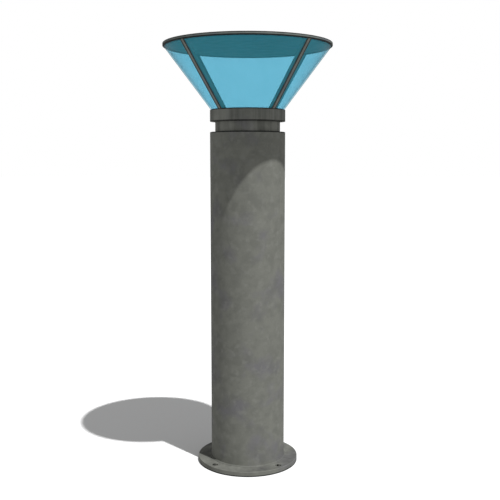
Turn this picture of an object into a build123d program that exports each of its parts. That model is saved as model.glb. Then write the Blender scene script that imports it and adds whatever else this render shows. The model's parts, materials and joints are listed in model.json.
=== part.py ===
from build123d import *
from math import cos, radians, sin, sqrt
import os

# Bollard light. Millimetres, +Z up, origin at the centre of the flange's underside, front towards -Y.
# Post: flange, tube and the ring that carries the head. Head: neck, collar, four leaning ribs with
# four clear panels between them, the lamp in the collar and the gear hanging inside the post.
# Lid: a thin disc screwed down onto the ribs.

os.makedirs("parts", exist_ok=True)

# Post
flange_d = 242.0
flange_t = 12.0
flange_edge = 0.8
bolt_pcd = 214.0
bolt_count = 4
bolt_hole_d = 14.0
cable_hole_d = 70.0
post_d = 177.8
post_wall = 4.0
post_top = 800.0
post_edge = 1.5
weld_leg = 3.0
seat_ring_t = 8.0
seat_land = 6.0
lock_d = 8.0
lock_boss_d = 16.0
lock_sink = 1.0
lock_drop = 28.0

# Neck and collar
neck_d = 153.2
neck_wall = 4.0
neck_flange_t = 6.5
neck_skirt_h = 60.0
neck_deck_t = 8.0
neck_gasket_t = 1.5
groove_h = 24.5
collar_h = 27.0
collar_edge = 0.8
collar_floor_t = 6.0
rib_screw_deep = 6.5
rib_screw_inset = 4.0
lamp_hole_d = 90.0
recess_d = 116.0
cover_recess_d = 149.0
cover_ledge_h = 18.5
seal_groove_w = 2.4
seal_groove_t = 1.8
seal_inset = 3.0

# Cone of ribs and panels
cone_h = 145.5
cone_foot_d = 175.0
cone_top_d = 394.0
rib_w = 13.3
rib_depth = 12.0
rib_angles = {"front_left": 225, "front_right": 315, "rear_right": 45, "rear_left": 135}
panel_t = 3.0
panel_recess = 1.2
panel_grip = 2.2
panel_angles = {"front": 270, "right": 0, "rear": 90, "left": 180}
seal_t = 1.0

# Lid
lid_d = 397.0
lid_t = 6.5
lid_edge = 0.6
lid_gasket_w = 12.5
lid_screw_inset = 8.7

# Lamp
heatsink_t = 6.0
heatsink_rim = 1.0
fin_t = 2.0
fin_pitch = 8.0
fin_drop = 18.0
fin_span = 84.0
board_d = 98.0
board_t = 1.6
board_inset = 5.0
chip = 5.0
chip_t = 0.9
chip_rings = ((14.0, 6), (32.0, 12))
lens_d = 129.0
lens_t = 4.0
lens_seal_w = 5.0
lens_seal_t = 1.5
lens_ring_lip = 4.5
lens_ring_t = 2.8

# Gear inside the post
tray_w = 64.0
tray_t = 2.0
tray_h = 250.0
tray_y = 46.0
tray_foot = 16.0
tray_lip = 40.0
driver_w = 52.0
driver_t = 28.0
driver_h = 150.0
driver_drop = 30.0
driver_ear = 8.0
terminal_w = 52.0
terminal_t = 20.0
terminal_h = 24.0
terminal_drop = 208.0
terminal_ways = 3
lead_d = 5.0
lead_inset = 12.0
core_d = 2.6
gland_d = 20.0
gland_flats = 24.0
gland_bore_d = 12.0
gland_hex_h = 6.0
gland_dome_h = 12.0
gland_thread_h = 8.0
gland_nut_h = 5.0
gland_edge = 3.0
driver_edge = 3.0
driver_tongue_w = 24.0
terminal_seat = 4.0
terminal_ear = 8.0
terminal_mouth_h = 14.0
terminal_mouth_t = 6.0
earth_nut_t = 3.5
earth_nut_flats = 8.0
earth_inset = 8.0
earth_rise = 10.0

# Screws: shank diameter, head diameter, head height, length
collar_screw = (5.0, 8.5, 5.0, 20.0)
rib_screw = (4.0, 7.0, 4.0, 22.0)
lid_screw = (4.0, 8.4, 2.2, 14.0)
heatsink_screw = (3.0, 5.5, 2.4, 10.0)
board_screw = (3.0, 5.5, 1.8, 6.0)
cover_screw = (3.0, 6.0, 1.5, 12.0)
tray_screw = (4.0, 7.0, 2.6, 8.0)
gear_screw = (3.0, 5.5, 2.0, 5.0)
earth_stud_d = 5.0
earth_stud_len = 14.0

# Clearances
slide_gap = 0.4
screw_gap = 0.3
fit_gap = 0.1
weld_gap = 0.05
panel_gap = 0.35
tip_gap = 0.35
fin_gap = 2.0
wall_gap = 2.5
hole_spare = 1.0

# Levels, from the ground up
neck_flange_z = post_top - neck_flange_t
seat_z = neck_flange_z - neck_gasket_t
skirt_z = neck_flange_z - neck_skirt_h
neck_top = post_top + groove_h
deck_z = neck_top - neck_deck_t
floor_z = neck_top + collar_floor_t
ledge_z = neck_top + cover_ledge_h
collar_top = neck_top + collar_h
board_z = floor_z + heatsink_t
lens_z = ledge_z + lens_seal_t
lid_z = collar_top + cone_h
rib_top = lid_z - seal_t
lid_top = lid_z + lid_t

# Radii
post_r = post_d / 2
bore_r = post_r - post_wall
skirt_r = bore_r - slide_gap - seat_land
neck_r = neck_d / 2
neck_in_r = neck_r - neck_wall
lamp_hole_r = lamp_hole_d / 2
recess_r = recess_d / 2
cover_recess_r = cover_recess_d / 2
cone_foot_r = cone_foot_d / 2
cone_slope = (cone_top_d - cone_foot_d) / 2 / cone_h
panel_wide = panel_t * sqrt(1 + cone_slope**2)
lid_r = lid_d / 2
corner = 45.0

# Screw circles: radius, count, first angle
collar_screw_ring = (neck_in_r - collar_screw[1] / 2 - wall_gap, 4, corner)
rib_screw_ring = (cone_foot_r - rib_screw_inset, 4, corner)
cover_screw_ring = ((cover_recess_r + lens_d / 2) / 2, 4, 0.0)
heatsink_screw_ring = ((recess_r + board_d / 2) / 2, 3, 90.0)
board_screw_ring = (board_d / 2 - board_inset, 3, 30.0)
bolt_ring = (bolt_pcd / 2, bolt_count, corner)


def coneRadius(z):
    """Radius of the ribs' outer faces at a height."""
    return cone_foot_r + cone_slope * (z - collar_top)


lid_screw_ring = (coneRadius(rib_top) - lid_screw_inset, 4, corner)


def radialPlane(angle):
    """Upright plane through the axis: its x points out at the angle and its y up."""
    a = radians(angle)
    return Plane(origin=(0, 0, 0), x_dir=(cos(a), sin(a), 0), z_dir=(sin(a), -cos(a), 0))


def ring(inner, outer, low, high):
    """Turn a rectangular section about the axis into the current part."""
    with BuildSketch(Plane.XZ) as profile:
        with Locations(((inner + outer) / 2, (low + high) / 2)):
            Rectangle(outer - inner, high - low)
    revolve(profile.sketch, axis=Axis.Z)


def turned(*points):
    """Turn a closed outline of radius and height about the axis into the current part."""
    with BuildSketch(Plane.XZ) as profile:
        with BuildLine():
            Polyline(*points, close=True)
        make_face()
    revolve(profile.sketch, axis=Axis.Z)


def drill(places, diameter, start, depth):
    """Cut a circle of round holes from a level: downwards, or upwards for a negative depth."""
    with BuildSketch(Plane.XY.offset(start)) as profile:
        with PolarLocations(*places):
            Circle(diameter / 2)
    extrude(profile.sketch, amount=-depth, mode=Mode.SUBTRACT)


def sink(places, screw, top, gap):
    """Cut a circle of countersinks for a flat screw whose head is flush with a level."""
    shank, head, deep, length = screw
    with Locations(Plane.XY.offset(top)):
        with PolarLocations(*places):
            Cone(
                shank / 2 + gap,
                head / 2 + gap,
                deep,
                align=(Align.CENTER, Align.CENTER, Align.MAX),
                mode=Mode.SUBTRACT,
            )


def flatScrews(places, screw, top):
    """A circle of countersunk screws pointing down, heads flush with a level."""
    shank, head, deep, length = screw
    with BuildSketch(Plane.XY.offset(top - deep)) as profile:
        with PolarLocations(*places):
            Circle(shank / 2)
    extrude(profile.sketch, amount=deep - length)
    with Locations(Plane.XY.offset(top)):
        with PolarLocations(*places):
            Cone(shank / 2, head / 2, deep, align=(Align.CENTER, Align.CENTER, Align.MAX))
    with BuildSketch(Plane.XY.offset(top)) as profile:
        with PolarLocations(*places):
            RegularPolygon(shank * 0.35, 6)
    extrude(profile.sketch, amount=-deep * 0.8, mode=Mode.SUBTRACT)


def capScrews(places, screw, seat, up):
    """A circle of cap screws, heads against a level: shanks point up, or down when up is -1."""
    shank, head, high, length = screw
    with BuildSketch(Plane.XY.offset(seat)) as profile:
        with PolarLocations(*places):
            Circle(head / 2)
    extrude(profile.sketch, amount=-up * high)
    with BuildSketch(Plane.XY.offset(seat)) as profile:
        with PolarLocations(*places):
            Circle(shank / 2)
    extrude(profile.sketch, amount=up * length)
    with BuildSketch(Plane.XY.offset(seat - up * high)) as profile:
        with PolarLocations(*places):
            RegularPolygon(shank * 0.45, 6)
    extrude(profile.sketch, amount=up * high * 0.6, mode=Mode.SUBTRACT)


def ribSlots(width, low, high):
    """Cut both diagonal slots, as wide as given, out of the current part between two levels."""
    with BuildSketch(Plane.XY.offset(low)) as profile:
        for turn in (corner, -corner):
            Rectangle(lid_d * 2, width, rotation=turn)
    extrude(profile.sketch, amount=high - low, mode=Mode.SUBTRACT)


def save(piece, label):
    """Label a finished piece and write it as its own STEP file."""
    piece.part.label = label
    export_step(piece.part, f"parts/{label}.step")


# Post

with BuildPart() as base_flange:
    ring(cable_hole_d / 2, flange_d / 2, 0, flange_t)
    rims = base_flange.edges().filter_by(GeomType.CIRCLE).group_by(Axis.Z)[-1]
    chamfer(rims.sort_by(SortBy.RADIUS)[-1], length=flange_edge)
    drill(bolt_ring, bolt_hole_d, flange_t, flange_t)
save(base_flange, "base_flange")

# The locking screw bears on the skirt at the rear, below the seat ring.
lock_z = neck_flange_z - lock_drop
lock_plane = Plane(origin=(0, post_r, lock_z), x_dir=(1, 0, 0), z_dir=(0, 1, 0))

with BuildPart() as post_tube:
    ring(bore_r, post_r, flange_t, post_top)
    rims = post_tube.edges().filter_by(GeomType.CIRCLE).group_by(Axis.Z)[-1]
    fillet(rims.sort_by(SortBy.RADIUS)[-1], radius=post_edge)
    with BuildSketch(lock_plane):
        Circle(lock_d / 2 + fit_gap)
    extrude(amount=-post_r / 2, mode=Mode.SUBTRACT)
save(post_tube, "post_tube")

with BuildPart() as base_weld:
    with BuildSketch(Plane.XZ):
        with BuildLine():
            toe = post_r + weld_gap + weld_leg
            Polyline(
                (toe - weld_leg, flange_t + weld_leg),
                (toe - weld_leg, flange_t),
                (toe, flange_t),
            )
            SagittaArc((toe, flange_t), (toe - weld_leg, flange_t + weld_leg), -weld_leg * 0.15)
        make_face()
    revolve(axis=Axis.Z)
save(base_weld, "base_weld")

with BuildPart() as seat_ring:
    ring(skirt_r + slide_gap, bore_r - weld_gap, seat_z - seat_ring_t, seat_z)
save(seat_ring, "seat_ring")

with BuildPart() as locking_boss:
    with BuildSketch(lock_plane.offset(skirt_r + 3 * tip_gap - post_r)):
        Circle(lock_boss_d / 2)
        Circle(lock_d / 2 + fit_gap, mode=Mode.SUBTRACT)
    extrude(amount=post_wall + seat_land)
    with BuildSketch(Plane.XY.offset(lock_z - lock_boss_d)):
        Circle(post_d)
        Circle(bore_r - weld_gap, mode=Mode.SUBTRACT)
    extrude(amount=2 * lock_boss_d, mode=Mode.SUBTRACT)
save(locking_boss, "locking_boss")

with BuildPart() as locking_screw:
    with BuildSketch(lock_plane.offset(-lock_sink)):
        Circle(lock_d / 2)
    extrude(amount=skirt_r + tip_gap + lock_sink - post_r)
    chamfer(locking_screw.faces().sort_by(Axis.Y)[0].edges(), length=lock_d * 0.1)
    with BuildSketch(lock_plane.offset(-lock_sink)):
        RegularPolygon(lock_d * 0.28, 6)
    extrude(amount=-lock_d / 2, mode=Mode.SUBTRACT)
save(locking_screw, "locking_screw")

# Neck and collar

tray_screw_x = tray_w * 0.3
tray_screw_y = tray_y + tray_t + (tray_foot - tray_t) / 2

with BuildPart() as neck:
    turned(
        (neck_in_r, skirt_z),
        (skirt_r, skirt_z),
        (skirt_r, neck_flange_z),
        (bore_r - slide_gap, neck_flange_z),
        (bore_r - slide_gap, post_top),
        (neck_r, post_top),
        (neck_r, neck_top),
        (lamp_hole_r, neck_top),
        (lamp_hole_r, deck_z),
        (neck_in_r, deck_z),
    )
    rims = neck.edges().filter_by(GeomType.CIRCLE).group_by(Axis.Z)[0]
    chamfer(rims.sort_by(SortBy.RADIUS)[-1], length=neck_wall / 3)
    drill(collar_screw_ring, collar_screw[0] + screw_gap, neck_top, neck_deck_t)
    with BuildSketch(Plane.XY.offset(neck_top)):
        Circle(neck_r - seal_inset)
        Circle(neck_r - seal_inset - seal_groove_w, mode=Mode.SUBTRACT)
    extrude(amount=-seal_groove_t, mode=Mode.SUBTRACT)
    with BuildSketch(Plane.XY.offset(deck_z)):
        with Locations((0, tray_screw_y)):
            with GridLocations(2 * tray_screw_x, 1, 2, 1):
                Circle(tray_screw[0] / 2 + fit_gap)
    extrude(amount=tray_screw[3], mode=Mode.SUBTRACT)
save(neck, "neck")

with BuildPart() as neck_gasket:
    ring(skirt_r + slide_gap, bore_r - 2 * slide_gap, seat_z, neck_flange_z)
save(neck_gasket, "neck_gasket")

with BuildPart() as collar_seal:
    seal_out_r = neck_r - seal_inset - fit_gap
    seal_in_r = neck_r - seal_inset - seal_groove_w + fit_gap
    ring(seal_in_r, seal_out_r, neck_top - seal_groove_t, neck_top)
save(collar_seal, "collar_seal")

rib_screw_sink = rib_screw[2] + rib_screw_deep

with BuildPart() as collar:
    turned(
        (lamp_hole_r, neck_top),
        (post_r, neck_top),
        (post_r, collar_top),
        (cover_recess_r, collar_top),
        (cover_recess_r, ledge_z),
        (recess_r, ledge_z),
        (recess_r, floor_z),
        (lamp_hole_r, floor_z),
    )
    rims = collar.edges().filter_by(GeomType.CIRCLE).group_by(SortBy.RADIUS)[-1]
    chamfer(rims, length=collar_edge)
    drill(collar_screw_ring, collar_screw[0] + fit_gap, neck_top, neck_deck_t - collar_screw[3] - hole_spare)
    drill(rib_screw_ring, rib_screw[0] + screw_gap, collar_top, collar_h)
    drill(rib_screw_ring, rib_screw[1] + 2 * screw_gap, neck_top, -rib_screw_sink)
    drill(cover_screw_ring, cover_screw[0] + fit_gap, ledge_z, cover_screw[3] - lens_seal_t)
    drill(heatsink_screw_ring, heatsink_screw[0] + fit_gap, floor_z, collar_floor_t - hole_spare)
save(collar, "collar")

with BuildPart() as collar_screws:
    capScrews(collar_screw_ring, collar_screw, deck_z, 1)
save(collar_screws, "collar_screws")

# Ribs, panels and their seals

rib_slot = rib_w - 2 * panel_grip
groove_slot = rib_slot - 2 * panel_gap
rib_hole = rib_screw[3] - (collar_h - rib_screw_sink) + hole_spare
lid_hole = lid_screw[3] - lid_t - seal_t + hole_spare

for name, angle in rib_angles.items():
    with BuildPart() as rib:
        with BuildSketch(radialPlane(angle)):
            with BuildLine():
                Polyline(
                    (coneRadius(collar_top) - rib_depth, collar_top),
                    (coneRadius(collar_top), collar_top),
                    (coneRadius(rib_top), rib_top),
                    (coneRadius(rib_top) - rib_depth, rib_top),
                    close=True,
                )
            make_face()
        extrude(amount=rib_w / 2, both=True)
        for side in (-1, 1):
            with BuildSketch(radialPlane(angle).offset(side * groove_slot / 2)):
                with BuildLine():
                    glass_r = coneRadius(collar_top) - panel_recess
                    rise = lid_z - collar_top
                    Polyline(
                        (glass_r + panel_gap, collar_top),
                        (glass_r + panel_gap + cone_slope * rise, lid_z),
                        (glass_r - panel_wide - panel_gap + cone_slope * rise, lid_z),
                        (glass_r - panel_wide - panel_gap, collar_top),
                        close=True,
                    )
                make_face()
            extrude(amount=side * rib_w, mode=Mode.SUBTRACT)
        drill((rib_screw_ring[0], 1, angle), rib_screw[0] + fit_gap, collar_top, -rib_hole)
        drill((lid_screw_ring[0], 1, angle), lid_screw[0] + 2 * screw_gap, rib_top, lid_hole)
    save(rib, f"rib_{name}")

with BuildPart() as rib_screws:
    capScrews(rib_screw_ring, rib_screw, neck_top + rib_screw_sink, 1)
save(rib_screws, "rib_screws")

panel_foot = collar_top + seal_t
for name, angle in panel_angles.items():
    with BuildPart() as panel:
        with BuildSketch(radialPlane(angle - corner)):
            with BuildLine():
                foot_r = coneRadius(panel_foot) - panel_recess
                head_r = coneRadius(rib_top) - panel_recess
                Polyline(
                    (foot_r, panel_foot),
                    (head_r, rib_top),
                    (head_r - panel_wide, rib_top),
                    (foot_r - panel_wide, panel_foot),
                    close=True,
                )
            make_face()
        revolve(axis=Axis.Z, revolution_arc=2 * corner)
        ribSlots(rib_slot, panel_foot, rib_top)
    save(panel, f"panel_{name}")

with BuildPart() as lower_seal:
    seal_out_r = coneRadius(collar_top) - panel_recess
    ring(seal_out_r - panel_wide, seal_out_r, collar_top, panel_foot)
    ribSlots(rib_w + 2 * panel_gap, collar_top, panel_foot)
save(lower_seal, "lower_seal")

# Lid

with BuildPart() as lid:
    ring(0, lid_r, lid_z, lid_top)
    chamfer(lid.edges().filter_by(GeomType.CIRCLE).group_by(SortBy.RADIUS)[-1], length=lid_edge)
    drill(lid_screw_ring, lid_screw[0] + 2 * fit_gap, lid_top, lid_t)
    sink(lid_screw_ring, lid_screw, lid_top, fit_gap)
save(lid, "lid")

with BuildPart() as lid_gasket:
    ring(coneRadius(rib_top) - lid_gasket_w, coneRadius(rib_top), rib_top, lid_z)
    drill(lid_screw_ring, lid_screw[0] + 2 * screw_gap, lid_z, seal_t)
save(lid_gasket, "lid_gasket")

with BuildPart() as lid_screws:
    flatScrews(lid_screw_ring, lid_screw, lid_top)
save(lid_screws, "lid_screws")

# Lamp

lead_x = fin_pitch / 2
lead_y = lamp_hole_r - lead_inset
fin_count = int(fin_span / fin_pitch)

with BuildPart() as heatsink:
    ring(0, recess_r - heatsink_rim, floor_z, board_z)
    with BuildSketch(Plane.XY.offset(floor_z)):
        with GridLocations(fin_pitch, 1, fin_count, 1):
            Rectangle(fin_t, lamp_hole_d)
        Circle(lamp_hole_r - fin_gap, mode=Mode.INTERSECT)
    extrude(amount=-fin_drop)
    with BuildSketch(Plane.XY.offset(board_z)):
        with Locations((lead_x, lead_y)):
            Circle(lead_d / 2 + fit_gap)
    extrude(amount=-heatsink_t - fin_drop, mode=Mode.SUBTRACT)
    drill(heatsink_screw_ring, heatsink_screw[0] + screw_gap, board_z, heatsink_t)
    drill(board_screw_ring, board_screw[0] + fit_gap, board_z, heatsink_t - hole_spare)
save(heatsink, "heatsink")

with BuildPart() as heatsink_screws:
    capScrews(heatsink_screw_ring, heatsink_screw, board_z, -1)
save(heatsink_screws, "heatsink_screws")

with BuildPart() as led_board:
    ring(0, board_d / 2, board_z, board_z + board_t)
    drill(board_screw_ring, board_screw[0] + screw_gap, board_z + board_t, board_t)
    with BuildSketch(Plane.XY.offset(board_z)):
        with Locations((lead_x, lead_y)):
            Circle(lead_d / 2 + fit_gap)
    extrude(amount=board_t, mode=Mode.SUBTRACT)
save(led_board, "led_board")

with BuildPart() as board_screws:
    capScrews(board_screw_ring, board_screw, board_z + board_t, -1)
save(board_screws, "board_screws")

with BuildPart() as led_chips:
    with BuildSketch(Plane.XY.offset(board_z + board_t)):
        for radius, count in chip_rings:
            with PolarLocations(radius, count, start_angle=corner / 3):
                Rectangle(chip, chip)
    extrude(amount=chip_t)
save(led_chips, "led_chips")

with BuildPart() as lens_seal:
    ring(lens_d / 2 - lens_seal_w, lens_d / 2, ledge_z, lens_z)
save(lens_seal, "lens_seal")

with BuildPart() as led_lens:
    ring(0, lens_d / 2, lens_z, lens_z + lens_t)
save(led_lens, "led_lens")

cover_z = lens_z + lens_t
with BuildPart() as lens_ring:
    turned(
        (lens_d / 2 + fit_gap, ledge_z),
        (cover_recess_r - slide_gap, ledge_z),
        (cover_recess_r - slide_gap, cover_z + lens_ring_t),
        (lens_d / 2 - lens_ring_lip, cover_z + lens_ring_t),
        (lens_d / 2 - lens_ring_lip, cover_z),
        (lens_d / 2 + fit_gap, cover_z),
    )
    drill(cover_screw_ring, cover_screw[0] + screw_gap, cover_z + lens_ring_t, collar_h)
    sink(cover_screw_ring, cover_screw, cover_z + lens_ring_t, fit_gap)
save(lens_ring, "lens_ring")

with BuildPart() as lens_ring_screws:
    flatScrews(cover_screw_ring, cover_screw, cover_z + lens_ring_t)
save(lens_ring_screws, "lens_ring_screws")

# Gear tray and what it carries: the plate faces the front, its foot is screwed up under the deck.

tray_z = deck_z - tray_h
plate_y = tray_y
driver_top = deck_z - driver_drop
driver_z = driver_top - driver_h
terminal_top = deck_z - terminal_drop
gear_plane = Plane(origin=(0, plate_y, 0), x_dir=(1, 0, 0), z_dir=(0, -1, 0))
driver_holes = (driver_z - driver_ear / 2, driver_top + driver_ear / 2)
terminal_hole_z = terminal_top - terminal_h / 2
terminal_hole_x = (terminal_w - terminal_ear) / 2
earth_x = tray_w / 2 - earth_inset
earth_z = terminal_top + earth_rise
gland_y = plate_y - tray_lip / 2 - tray_t

with BuildPart() as gear_tray:
    with BuildSketch(Plane.YZ):
        with BuildLine():
            Polyline(
                (plate_y + tray_foot, deck_z),
                (plate_y, deck_z),
                (plate_y, tray_z + tray_t),
                (plate_y - tray_lip, tray_z + tray_t),
                (plate_y - tray_lip, tray_z),
                (plate_y + tray_t, tray_z),
                (plate_y + tray_t, deck_z - tray_t),
                (plate_y + tray_foot, deck_z - tray_t),
                close=True,
            )
        make_face()
    extrude(amount=tray_w / 2, both=True)
    folds = gear_tray.edges().filter_by(Axis.X)
    fillet(folds.sort_by_distance((0, plate_y, deck_z))[0], radius=tray_t)
    fillet(folds.sort_by_distance((0, plate_y + tray_t, tray_z))[0], radius=tray_t)
    with BuildSketch(Plane.XY.offset(deck_z)):
        with Locations((0, tray_screw_y)):
            with GridLocations(2 * tray_screw_x, 1, 2, 1):
                Circle(tray_screw[0] / 2 + screw_gap)
    extrude(amount=-tray_t, mode=Mode.SUBTRACT)
    with BuildSketch(Plane.XY.offset(tray_z)):
        with Locations((0, gland_y)):
            Circle(gland_d / 2 + fit_gap)
    extrude(amount=tray_t, mode=Mode.SUBTRACT)
    with BuildSketch(gear_plane):
        for z in driver_holes:
            with Locations((0, z)):
                Circle(gear_screw[0] / 2 + fit_gap)
        for x in (-terminal_hole_x, terminal_hole_x):
            with Locations((x, terminal_hole_z)):
                Circle(gear_screw[0] / 2 + fit_gap)
        with Locations((earth_x, earth_z)):
            Circle(earth_stud_d / 2 + fit_gap)
    extrude(amount=-tray_t, mode=Mode.SUBTRACT)
save(gear_tray, "gear_tray")

with BuildPart() as tray_screws:
    with BuildSketch(Plane.XY.offset(deck_z - tray_t)):
        with Locations((0, tray_screw_y)):
            with GridLocations(2 * tray_screw_x, 1, 2, 1):
                Circle(tray_screw[1] / 2)
    extrude(amount=-tray_screw[2])
    with BuildSketch(Plane.XY.offset(deck_z - tray_t)):
        with Locations((0, tray_screw_y)):
            with GridLocations(2 * tray_screw_x, 1, 2, 1):
                Circle(tray_screw[0] / 2)
    extrude(amount=tray_screw[3])
save(tray_screws, "tray_screws")

with BuildPart() as led_driver:
    with BuildSketch(gear_plane):
        with Locations((0, (driver_z + driver_top) / 2)):
            Rectangle(driver_w, driver_h)
    extrude(amount=driver_t)
    fillet(led_driver.edges().filter_by(Axis.Z), radius=driver_edge)
    with BuildSketch(gear_plane):
        with Locations((0, (driver_z + driver_top) / 2)):
            Rectangle(driver_tongue_w, driver_h + 2 * driver_ear)
        for z in driver_holes:
            with Locations((0, z)):
                Circle(gear_screw[0] / 2 + screw_gap, mode=Mode.SUBTRACT)
    extrude(amount=tray_t)
save(led_driver, "led_driver")

with BuildPart() as terminal_block:
    with BuildSketch(gear_plane):
        with Locations((0, terminal_top - terminal_h / 2)):
            Rectangle(terminal_w, terminal_h)
    extrude(amount=terminal_t)
    way = (terminal_w - 2 * terminal_ear) / terminal_ways
    with BuildSketch(gear_plane.offset(terminal_t)):
        with Locations((0, terminal_top - terminal_h / 2)):
            with GridLocations(way, 1, terminal_ways, 1):
                Rectangle(way * 0.7, terminal_mouth_h)
    extrude(amount=-terminal_mouth_t, mode=Mode.SUBTRACT)
    with BuildSketch(gear_plane):
        for x in (-terminal_hole_x, terminal_hole_x):
            with Locations((x, terminal_hole_z)):
                Circle(gear_screw[0] / 2 + screw_gap)
    extrude(amount=terminal_t, mode=Mode.SUBTRACT)
    with BuildSketch(gear_plane.offset(terminal_seat)):
        for x in (-terminal_hole_x, terminal_hole_x):
            with Locations((x, terminal_hole_z)):
                Circle(gear_screw[1] / 2 + screw_gap)
    extrude(amount=terminal_t, mode=Mode.SUBTRACT)
save(terminal_block, "terminal_block")


def gearScrews(places, seat):
    """Pan head screws that hold gear on the tray: heads on a plane in front of it, shanks inwards."""
    shank, head, high, length = gear_screw
    with BuildSketch(gear_plane.offset(seat)) as profile:
        with Locations(*places):
            Circle(head / 2)
    extrude(profile.sketch, amount=high)
    with BuildSketch(gear_plane.offset(seat)) as profile:
        with Locations(*places):
            Circle(shank / 2)
    extrude(profile.sketch, amount=-seat - tray_t)
    with BuildSketch(gear_plane.offset(seat + high)) as profile:
        with Locations(*places):
            RegularPolygon(shank * 0.4, 6)
    extrude(profile.sketch, amount=-high * 0.6, mode=Mode.SUBTRACT)


with BuildPart() as driver_screws:
    gearScrews([(0, z) for z in driver_holes], tray_t)
save(driver_screws, "driver_screws")

with BuildPart() as terminal_screws:
    gearScrews([(x, terminal_hole_z) for x in (-terminal_hole_x, terminal_hole_x)], terminal_seat)
save(terminal_screws, "terminal_screws")

with BuildPart() as cable_gland:
    with BuildSketch(Plane.XY.offset(tray_z)):
        with Locations((0, gland_y)):
            RegularPolygon(gland_flats / 2, 6, major_radius=False)
    extrude(amount=-gland_hex_h)
    with BuildSketch(Plane.XY.offset(tray_z - gland_hex_h)):
        with Locations((0, gland_y)):
            Circle(gland_flats / 2)
    extrude(amount=-gland_dome_h)
    rims = cable_gland.edges().filter_by(GeomType.CIRCLE).group_by(Axis.Z)[0]
    fillet(rims, radius=gland_edge)
    with BuildSketch(Plane.XY.offset(tray_z)):
        with Locations((0, gland_y)):
            Circle(gland_d / 2)
    extrude(amount=tray_t + gland_thread_h)
    with BuildSketch(Plane.XY.offset(tray_z + tray_t + gland_thread_h)):
        with Locations((0, gland_y)):
            Circle(gland_bore_d / 2)
    extrude(amount=-tray_h / 2, mode=Mode.SUBTRACT)
save(cable_gland, "cable_gland")

with BuildPart() as gland_nut:
    with BuildSketch(Plane.XY.offset(tray_z + tray_t)):
        with Locations((0, gland_y)):
            RegularPolygon(gland_flats / 2, 6, major_radius=False)
            Circle(gland_d / 2 + fit_gap, mode=Mode.SUBTRACT)
    extrude(amount=gland_nut_h)
save(gland_nut, "gland_nut")

with BuildPart() as led_lead:
    with BuildSketch(Plane.XY.offset(driver_top)):
        with Locations((lead_x, lead_y)):
            Circle(lead_d / 2)
    extrude(amount=board_z + board_t - driver_top)
save(led_lead, "led_lead")

with BuildPart() as mains_leads:
    with BuildSketch(Plane.XY.offset(terminal_top)):
        with Locations((0, plate_y - terminal_t / 2)):
            with GridLocations(way, 1, terminal_ways, 1):
                Circle(core_d / 2)
    extrude(amount=driver_z - terminal_top)
save(mains_leads, "mains_leads")

with BuildPart() as earth_stud:
    with BuildSketch(gear_plane.offset(earth_stud_len - earth_nut_t - 2 * tray_t)):
        with Locations((earth_x, earth_z)):
            Circle(earth_stud_d / 2)
    extrude(amount=-earth_stud_len)
save(earth_stud, "earth_stud")

with BuildPart() as earth_nuts:
    for start, sense in ((0, 1), (-tray_t, -1)):
        with BuildSketch(gear_plane.offset(start)):
            with Locations((earth_x, earth_z)):
                RegularPolygon(earth_nut_flats / 2, 6, major_radius=False)
                Circle(earth_stud_d / 2 + fit_gap, mode=Mode.SUBTRACT)
        extrude(amount=sense * earth_nut_t)
save(earth_nuts, "earth_nuts")
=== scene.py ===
import bmesh
import bpy
import json
import numpy as np
from math import cos, pi, radians, sin
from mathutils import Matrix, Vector


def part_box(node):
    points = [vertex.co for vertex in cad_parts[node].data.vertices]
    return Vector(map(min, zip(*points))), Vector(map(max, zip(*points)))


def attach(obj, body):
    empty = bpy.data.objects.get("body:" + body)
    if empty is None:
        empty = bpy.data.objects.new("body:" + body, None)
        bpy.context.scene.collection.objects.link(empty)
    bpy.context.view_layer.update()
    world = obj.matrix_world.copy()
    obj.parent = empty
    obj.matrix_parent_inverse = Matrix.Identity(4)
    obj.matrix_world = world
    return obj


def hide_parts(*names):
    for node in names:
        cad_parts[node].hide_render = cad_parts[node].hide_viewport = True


# The looks of a bollard light around its CAD frame: metres, +Z up, the front towards -Y.

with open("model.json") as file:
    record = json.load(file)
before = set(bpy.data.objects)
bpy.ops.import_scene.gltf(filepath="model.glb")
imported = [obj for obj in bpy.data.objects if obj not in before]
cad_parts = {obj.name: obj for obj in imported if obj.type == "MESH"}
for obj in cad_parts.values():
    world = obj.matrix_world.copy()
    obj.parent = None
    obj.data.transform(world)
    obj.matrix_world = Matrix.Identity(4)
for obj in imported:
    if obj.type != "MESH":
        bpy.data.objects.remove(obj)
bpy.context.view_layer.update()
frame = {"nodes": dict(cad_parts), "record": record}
record = frame["record"]
slotOf = {part["node"]: part["material_slot"] for part in record["subparts"]}
bodyOf = {node: body for body, members in record["behaviour"]["bodies"].items() for node in members}
print("frame loaded:", len(frame["nodes"]), "CAD nodes")


camera = {
    "distance": 1.8973,  # from the post's axis
    "height": 0.7363,
    "azimuth": 1.9,  # degrees round the axis from the front
    "down": 6.53,
    "yaw": 0.17,
    "lens": 57.09,
    "sensor": 36.0,
    "clip": 0.01,
}


def makeCamera():
    # stands on a circle round the post's axis and looks slightly down
    turn = radians(camera["azimuth"])
    aim = turn - radians(camera["yaw"])
    down = radians(camera["down"])
    data = bpy.data.cameras.new("camera")
    data.lens = camera["lens"]
    data.sensor_width = camera["sensor"]
    data.clip_start = camera["clip"]
    eye = bpy.data.objects.new("camera", data)
    bpy.context.scene.collection.objects.link(eye)
    eye.location = (camera["distance"] * sin(turn), -camera["distance"] * cos(turn), camera["height"])
    look = Vector((-sin(aim) * cos(down), cos(aim) * cos(down), -sin(down)))
    eye.rotation_euler = look.to_track_quat("-Z", "Y").to_euler()
    bpy.context.scene.camera = eye


light = {
    "sunAlong": (-0.285, 0.300, -1.0),
    "sunStrength": 3.5,
    "sunAngle": 0.9,
    "sky": 0.35,  # what falls on the object
    "backdrop": 1.0,  # what stands behind it
}


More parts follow.
